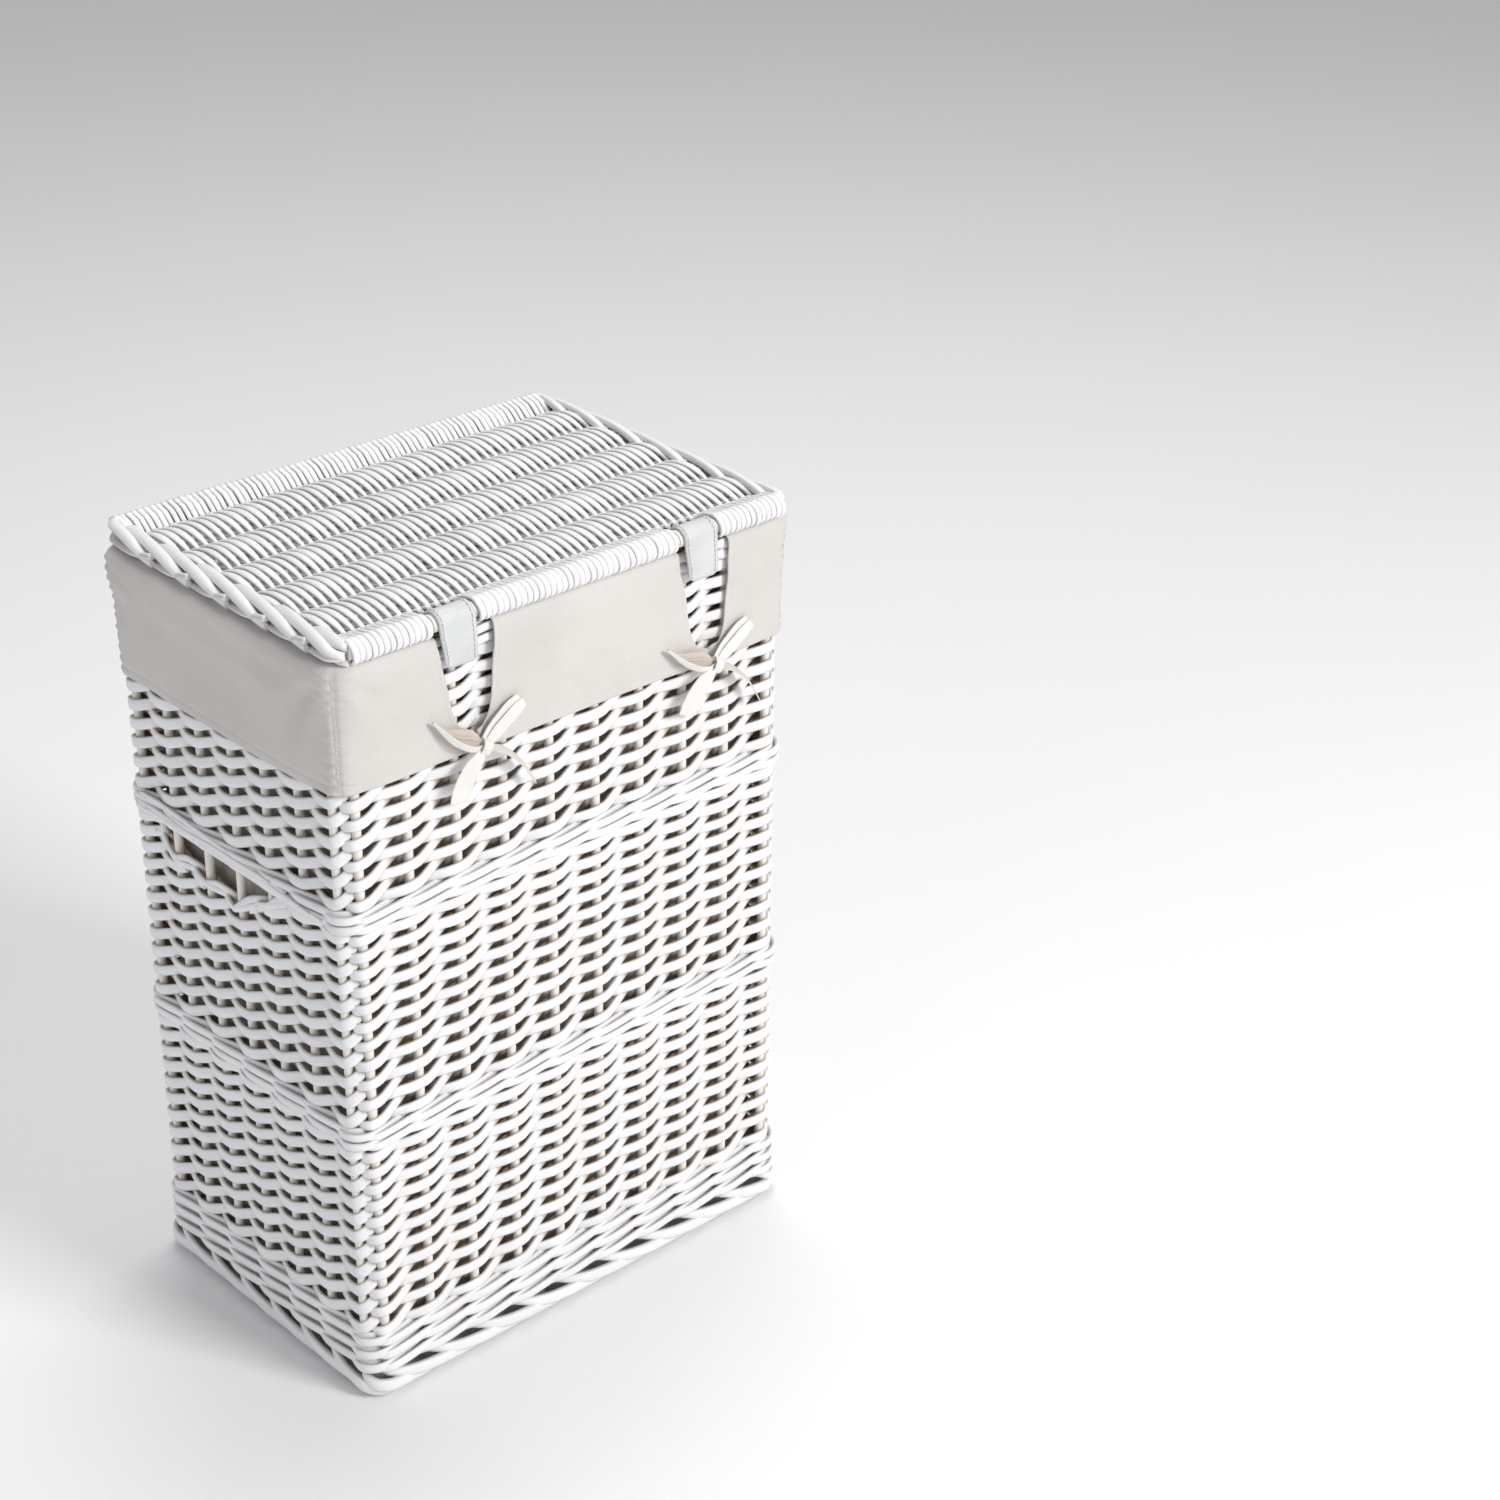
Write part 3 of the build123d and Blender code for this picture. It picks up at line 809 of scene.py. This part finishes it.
# ---- cloth ----
skirt_profile = np.array([  # distance out from the stake line, and height
    (-8.3, 507.0), (-8.4, 513.0), (-7.2, 515.0), (-3.0, 515.5), (3.0, 515.5), (6.8, 515.2), (8.8, 513.6),
    (9.7, 510.0), (9.7, 505.0), (9.2, 498.0), (8.6, 490.0), (8.1, 478.0), (7.8, 464.0), (7.5, 450.0),
    (7.3, 442.0), (7.2, 438.5), (7.0, skirt_hem),
])
profile_line = curve_through(skirt_profile, 88)
profile_length = distances_along(profile_line)[-1]
front_middle = (wall_rail.starts[2] + wall_rail.starts[3]) / 2
corner_places = [(wall_rail.starts[i] + wall_rail.starts[i + 1]) / 2 for i in (1, 3, 5, 7)]
corner_pull = 0.9  # the skirt is drawn in this far at three corners
knot_shift = {"left": 17.4, "right": 14.0}  # from the middle of the strap to the knot of the bow
knot_height = {"left": 438.1, "right": 433.6}
slit_middle = 14.5  # where a slit closes, from the middle of the strap
slit_rise = [0.0, 1.0, 4.0, 9.0, 16.0, 26.0, 38.0, 62.0]  # height above the closed end of a slit
slit_left = [14.5, 8.5, 4.0, 1.0, -1.5, -3.5, -5.5, -12.0]  # its edges, from the middle of the strap
slit_right = [14.5, 20.5, 23.0, 25.0, 26.2, 27.2, 28.0, 28.5]


def strap_place(side):
    return front_middle + (-strap_centre if side == "left" else strap_centre)


def slit_edge(side, edge, height):
    """Place on the rail of one edge of a slit, which is drawn shut just above the knot."""
    bottom = knot_height[side] + 10.5
    knots = slit_left if edge < 0 else slit_right
    shift = 0.0 if side == "left" else -1.5
    inside = strap_place(side) + shift + np.interp(height - bottom, slit_rise, knots)
    closed = strap_place(side) + shift + slit_middle + edge * 0.45
    return np.where(height > bottom, inside, closed)


def from_corner(place, corner):
    return np.mod(place - corner + wall_rail.total / 2, wall_rail.total) - wall_rail.total / 2


def skirt_panel(name, begin, finish):
    """One panel of the skirt, between its begin and finish edges: places on the rail at each height."""
    d, z = profile_line[:, 0], profile_line[:, 1]
    first, last = begin[0], finish[0]
    columns = [np.arange(first, last, 3.0), first + np.arange(0, 8, 0.8), last - np.arange(0, 8, 0.8)]
    for corner in corner_places + [c + wall_rail.total for c in corner_places]:
        columns.append(np.arange(corner - 7, corner + 7, 0.75))
    columns = np.unique(np.round(np.concatenate(columns), 2))
    columns = columns[(columns >= first) & (columns <= last)]
    columns = columns[np.concatenate([[True], np.diff(columns) > 0.4])]
    near_begin = ease(1 - (columns - first) / 45)
    near_finish = ease(1 - (last - columns) / 45)
    outer = ease((d - 4) / 4)
    phases = rng.uniform(0, 2 * math.pi, 8)
    grid = np.zeros((len(z), len(columns), 3))
    for row, height in enumerate(z):
        place = columns + (begin[row] - first) * near_begin + (finish[row] - last) * near_finish
        low_down = float(np.clip((510 - height) / 76, 0, 1))
        extra = 0.6 * np.sin(place / 37 + phases[0]) + 0.4 * np.sin(place / 17 + phases[1] + low_down)
        extra = extra * low_down
        ripple = 0.9 * np.sin(place / 60 + height / 7 + phases[2])
        extra = extra + ripple * math.exp(-((height - 494) / 13) ** 2)
        for number, corner in enumerate(corner_places):
            away = from_corner(place, corner)
            groove = -0.9 * np.exp(-(away / 1.0) ** 2)
            pucker = 0.95 * np.sin(2 * math.pi * height / 6.8 + 0.8 * math.sin(height / 11))
            pucker = pucker * np.exp(-np.abs(np.abs(away) - 2.6) / 2.8)
            fan = np.arctan2(512 - height, np.abs(away) + 3)
            folds = 1.5 * np.sin(fan * 9 + phases[3] + number) * np.exp(-np.abs(away) / 38)
            extra = extra + groove + pucker + folds * ease(np.abs(away) / 10) * ease(low_down * 4)
            if number > 0:
                extra = extra - corner_pull * np.exp(-((away / 9) ** 2)) * ease(low_down * 2.2)
        for side in ("left", "right"):
            dx = place - strap_place(side) - knot_shift[side]
            dz = height - knot_height[side]
            reach = np.hypot(dx, dz)
            fan = np.arctan2(dz, dx)
            extra = extra + 1.5 * np.sin(fan * 8 + phases[4]) * np.exp(-reach / 18) * ease(reach / 5)
        for edge_place in (begin[row], finish[row]):
            extra = extra - 0.35 * np.exp(-((np.abs(place - edge_place) - 3.6) / 0.7) ** 2)
        extra = extra - 0.4 * math.exp(-((height - (skirt_hem + 6)) / 0.9) ** 2)
        flat, normal = wall_rail.at(place, d[row] + extra * outer[row])
        grid[row, :, :2] = flat
        grid[row, :, 2] = height + 0.6 * np.sin(place / 45 + phases[5]) * low_down * outer[row]
    piece = surface(name, grid, skirt_cloth, "basket", 0.8)
    length = float(np.mean(finish - begin)) / 1000 + 0.02
    flat = (round(length, 3), round(profile_length / 1000, 3))
    return piece


z = profile_line[:, 1]
skirt_panel("skirt_front", slit_edge("left", 1, z), slit_edge("right", -1, z))
last_edge = slit_edge("left", -1, z) + wall_rail.total
around_panel = skirt_panel("skirt_around", slit_edge("right", 1, z), last_edge)
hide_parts("liner_skirt")


def stitch_row(heap, place, offsets, heights):
    """Short threads down the skirt, at one place on the rail."""
    line, outward = wall_rail.space(np.full(len(heights), place), offsets, heights)
    steps = distances_along(line)
    done = 1.5
    while done + seam_stitch < steps[-1]:
        at = np.linspace(done, done + seam_stitch, 4)
        out = read_along(at, steps, outward)
        lift = 0.25 + 0.15 * np.sin(math.pi * (at - done) / seam_stitch)
        points = read_along(at, steps, line) + out * lift[:, None]
        sweep(heap, points, out, 0.55, 0.5, sides=6)
        done += seam_pitch * rng.uniform(0.96, 1.04)


seam_stitch, seam_pitch = 2.1, 3.0
hanging = profile_line[:29:-1]  # the outside of the skirt, from its hem up
heights = np.linspace(510, skirt_hem + 1, 40)
offsets = np.interp(heights, hanging[:, 1], hanging[:, 0]) - 0.8
heap = Heap()
for number, corner in enumerate(corner_places):
    pulled = corner_pull * ease((510 - heights) / 76 * 2.2) if number > 0 else 0.0
    stitch_row(heap, corner, offsets - pulled, heights)
heap.make("seam_stitches", cotton_thread, "basket")


# ---- bag ----
bag_half_x, bag_half_y = bag_high[0] - 0.6, bag_high[1] - 0.6
bag_rail = Rail(bag_half_x, bag_half_y, 9.0)
around = np.linspace(0, bag_rail.total, 220, endpoint=False)
levels = np.concatenate([np.linspace(bag_high[2] - 6.5, 60, 46), [50, 42, 36, 32, 30.2]])
floor = bag_low[2] + 1.2
grid = []
phases = rng.uniform(0, 2 * math.pi, 8)
for height in levels:
    slack = ease((490 - height) / 60)
    depth = 1.1 + 0.9 * np.sin(around / 41 + phases[0] + height / 90)
    depth = depth + 0.6 * np.sin(around / 19 + phases[1] - height / 60)
    depth = depth + 0.5 * np.sin(height / 23 + around / 70 + phases[2])
    tuck = 3.0 * ease((44 - height) / 14) ** 2
    flat, normal = bag_rail.at(around, -np.clip(depth, 0, 3) * slack - tuck)
    grid.append(np.column_stack([flat, np.full(len(around), height)]))
edge, normal = bag_rail.at(around, -5.0)
for shrink in np.linspace(0.97, 0.03, 20):
    bumps = 0.7 * np.sin(edge[:, 0] * shrink / 21 + phases[3]) * np.sin(edge[:, 1] * shrink / 17 + phases[4])
    height = floor + 0.4 + np.maximum(bumps, 0)
    grid.append(np.column_stack([edge * shrink, height]))
grid = np.array(grid)
# Seen from inside the bag, the cloth's face looks inward.
bag = surface("liner_bag_cloth", grid, shaded_bag_cloth, "basket", 0.8, closed_columns=True,
              centre_point=(0, 0, floor + 0.5))
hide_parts("liner_bag")


# ---- bows ----
def ply(heap, first_edge, second_edge, inside):
    """A length of tape between its two edges, with painted shade where its inside shows. Returns its area.
    """
    count = 11 * (len(first_edge) - 1)
    first = curve_through(first_edge, count)
    second = curve_through(second_edge, count)
    across = second - first
    width = np.linalg.norm(across, axis=1)
    path = (first + second) / 2
    sweep(heap, path, None, width, 0.7, inside, 0.5, sides=12, side=unit(across), power=4.0, underside_bare_and_shade=0.0)
    steps = np.linalg.norm(np.diff(path, axis=0), axis=1)
    return float(np.sum(steps * (width[1:] + width[:-1]) / 2))


# Each ply: the part of the bow that it turns with, how much painted shade its inside gets where it shows,
# and its two edges as points (right, up, out) from the knot.
bow_plies = (
    # Left loop: the far side shows its inside, the near side is seen almost edge on.
    ("loop", 0.75,
     [(-1, 2, 2), (-8, 12, 1.2), (-17, 16.2, 1.0), (-26, 19.5, 1.0), (-35.4, 27.2, 1.4)],
     [(-1, -1, 2), (-10, 1.5, 1.8), (-19, 7.0, 1.6), (-27.5, 15.0, 1.4), (-36.2, 26.4, 1.4)]),
    ("loop", 0.0,
     [(0, 1.6, 3), (-8, 3.6, 6.0), (-16.5, 8.2, 7.2), (-25, 15.6, 6.4), (-35.6, 27.4, 2.4)],
     [(0, -1.4, 3), (-9, -0.6, 3.6), (-18.6, 5.0, 4.0), (-26.5, 12.4, 3.6), (-36.0, 26.2, 1.8)]),
    ("loop", 0.6,
     [(-4, 5.5, 2.4), (-11, 9.6, 3.0), (-19, 12.8, 2.8), (-27, 17.6, 2.2)],
     [(-4, 4.0, 1.8), (-11, 7.6, 2.0), (-19, 11.0, 2.0), (-27, 16.8, 1.8)]),
    # Right loop, pressed flat.
    ("knot", 0.0,
     [(-2.5, 4, 2), (3.8, 12.0, 2.0), (12.0, 18.8, 2.0), (18.8, 23.2, 1.8), (26.2, 25.4, 1.6)],
     [(1, 0, 2), (8.8, 5.4, 2.4), (17.4, 11.4, 2.4), (23.4, 16.0, 2.2), (29.0, 20.0, 1.8)]),
    ("knot", 0.0,
     [(0, 2.5, 2.6), (6.2, 10.0, 3.6), (14.2, 15.8, 3.8), (21.6, 20.0, 3.2), (30.0, 22.6, 2.2)],
     [(3, -1, 2.6), (11.0, 2.2, 2.8), (18.6, 7.2, 3.0), (25.8, 11.6, 2.8), (32.0, 15.8, 2.0)]),
    # Wide tail, down to the left.
    ("tail", 0.0,
     [(-2, 1, 3.4), (-10, -3.6, 5.0), (-17.6, -8.4, 5.0), (-22.6, -15.6, 4.4), (-25.6, -22.8, 3.6),
      (-25.8, -28.4, 2.6)],
     [(1, -2, 3.4), (-2.8, -7.0, 5.6), (-6.8, -11.4, 6.0), (-9.4, -17.2, 5.4), (-10.8, -24.2, 4.0),
      (-12.8, -33.4, 2.6)]),
    # Narrow tail, down to the right, seen on its edge.
    ("knot", 0.35,
     [(0, 1.2, 3), (9.2, -1.6, 2.0), (17.6, -7.4, 1.6), (25.0, -14.8, 1.4), (31.2, -23.4, 1.4),
      (37.4, -34.4, 1.6)],
     [(0, -1.6, 3), (8.2, -4.8, 8.4), (15.4, -10.2, 9.4), (22.4, -17.4, 9.0), (28.4, -25.4, 7.6),
      (35.0, -35.4, 6.0)]),
)
part_turns = {
    "left": {"loop": 0.0, "knot": 0.0, "tail": 0.0},
    "right": {"loop": 8.0, "knot": 0.0, "tail": -9.0},
}


def from_knot(knot, points, degrees):
    """Points given as (right, up, out) from the knot, turned about it."""
    points = np.array(points, float)
    cosine, sine = math.cos(math.radians(degrees)), math.sin(math.radians(degrees))
    right_way = points[:, 0] * cosine - points[:, 1] * sine
    upward = points[:, 0] * sine + points[:, 1] * cosine
    return knot + np.column_stack([right_way, -points[:, 2], upward])


def bow(side):
    heap = Heap()
    knot_x = strap_place(side) - front_middle + knot_shift[side]
    knot = np.array([knot_x, -stake_y - 9.6, knot_height[side]])
    area = 0.0
    for part, inside, first_edge, second_edge in bow_plies:
        degrees = part_turns[side][part]
        first, second = (from_knot(knot, edge, degrees) for edge in (first_edge, second_edge))
        area += ply(heap, first, second, inside)
    # The knot: a band round the middle.
    angle = np.linspace(-0.3, 2 * math.pi + 0.4, 26)
    turn = np.column_stack([2.2 * np.sin(angle), -3.0 - 3.4 * np.cos(angle), 4.2 * np.sin(angle)])
    band = np.interp(angle, [0, 3, 6], [7.0, 8.0, 6.5])
    tilted = np.array([0.85, 0.0, -0.5])
    sweep(heap, knot + turn, None, band, 0.9, 0.0, 0.5, sides=10, side=tilted, power=3.0, underside_bare_and_shade=0.0)
    area += 26 * 7.5  # length and mean width of the band
    piece = heap.make("bow_" + side, tape_cloth, "basket")
    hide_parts("tie_" + side)


bow("left")
bow("right")


# ---- carried-over CAD nodes -----------------------------------------------------------
for name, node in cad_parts.items():
    if not node.hide_render:
        node.data.materials.clear()
        node.data.materials.append(stake_willow if name.startswith("stakes") else white_willow)


# ---- stage, lights and camera ----
def stage_floor():
    """A pale floor that curves up into a backdrop."""
    reach, front, back, top, bend = 9.0, -7.0, 4.2, 9.0, 2.5  # metres
    profile = [(front, 0.0), (back, 0.0)]
    for step in range(1, 13):
        angle = math.pi / 2 * step / 12
        profile.append((back + bend * math.sin(angle), bend * (1 - math.cos(angle))))
    profile.append((back + bend, top))
    turn = Matrix.Rotation(math.radians(43), 4, "Z")
    points = [turn @ Vector((-x, y, z)) for y, z in profile for x in (reach, -reach)]
    faces = [(2 * i, 2 * i + 1, 2 * i + 3, 2 * i + 2) for i in range(len(profile) - 1)]
    mesh = bpy.data.meshes.new("floor")
    mesh.from_pydata([tuple(p) for p in points], [], faces)
    mesh.polygons.foreach_set("use_smooth", [True] * len(faces))
    recipe = Recipe("floor_paper")
    grain = recipe.noise(recipe.position, 3.0, 2.0)
    paper = recipe.mix(grain, (0.93, 0.93, 0.93, 1), (0.95, 0.95, 0.95, 1))
    mesh.materials.append(recipe.finish(Base_Color=paper, Roughness=0.9))
    floor_object = bpy.data.objects.new("floor", mesh)
    bpy.context.scene.collection.objects.link(floor_object)
    floor_object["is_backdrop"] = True


stage_floor()


def area_light(name, place, target, size, power, colour=(1, 1, 1)):
    light = bpy.data.lights.new(name, "AREA")
    light.shape = "SQUARE"
    light.size = size
    light.energy = power
    light.color = colour
    lamp = bpy.data.objects.new(name, light)
    lamp.location = place
    lamp.rotation_euler = (Vector(target) - Vector(place)).to_track_quat("-Z", "Y").to_euler()
    bpy.context.scene.collection.objects.link(lamp)


area_light("key", (0.9, -3.0, 2.0), (0, 0, 0.25), 1.1, 80.0, (1.0, 0.99, 0.97))
area_light("top", (0.6, 0.6, 3.0), (0, 0, 0.3), 1.4, 34.0)
area_light("left_fill", (-2.8, -0.8, 1.4), (0, 0, 0.25), 1.4, 11.0, (0.93, 0.94, 1.0))

world = bpy.data.worlds.new("studio")
world.use_nodes = True
world.node_tree.nodes["Background"].inputs["Color"].default_value = (0.97, 0.98, 1.0, 1.0)
world.node_tree.nodes["Background"].inputs["Strength"].default_value = 0.36
bpy.context.scene.world = world
bpy.context.scene.view_settings.view_transform = "Standard"
bpy.context.scene.view_settings.look = "None"

camera_azimuth = math.radians(-43.03)
camera_elevation = math.radians(27.05)
camera_roll = math.radians(0.63)
camera_distance = 1.92138
look_height = 0.2675
sideways, upward = 0.18628, 0.08448  # the object stands to the left of and below the middle of the frame
back = Vector((math.sin(camera_azimuth) * math.cos(camera_elevation),
               -math.cos(camera_azimuth) * math.cos(camera_elevation),
               math.sin(camera_elevation)))
right = (-back).cross(Vector((0, 0, 1))).normalized()
up = right.cross(-back)
rolled_right = right * math.cos(camera_roll) + up * math.sin(camera_roll)
rolled_up = up * math.cos(camera_roll) - right * math.sin(camera_roll)
camera_data = bpy.data.cameras.new("camera")
camera_data.sensor_width = 36.0
camera_data.lens = 70.42
camera = bpy.data.objects.new("camera", camera_data)
place = back * camera_distance + Vector((0, 0, look_height)) + rolled_right * sideways + rolled_up * upward
turned = Matrix((rolled_right, rolled_up, back)).transposed().to_4x4()
camera.matrix_world = Matrix.Translation(place) @ turned
bpy.context.scene.collection.objects.link(camera)
bpy.context.scene.camera = camera

low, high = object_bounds()
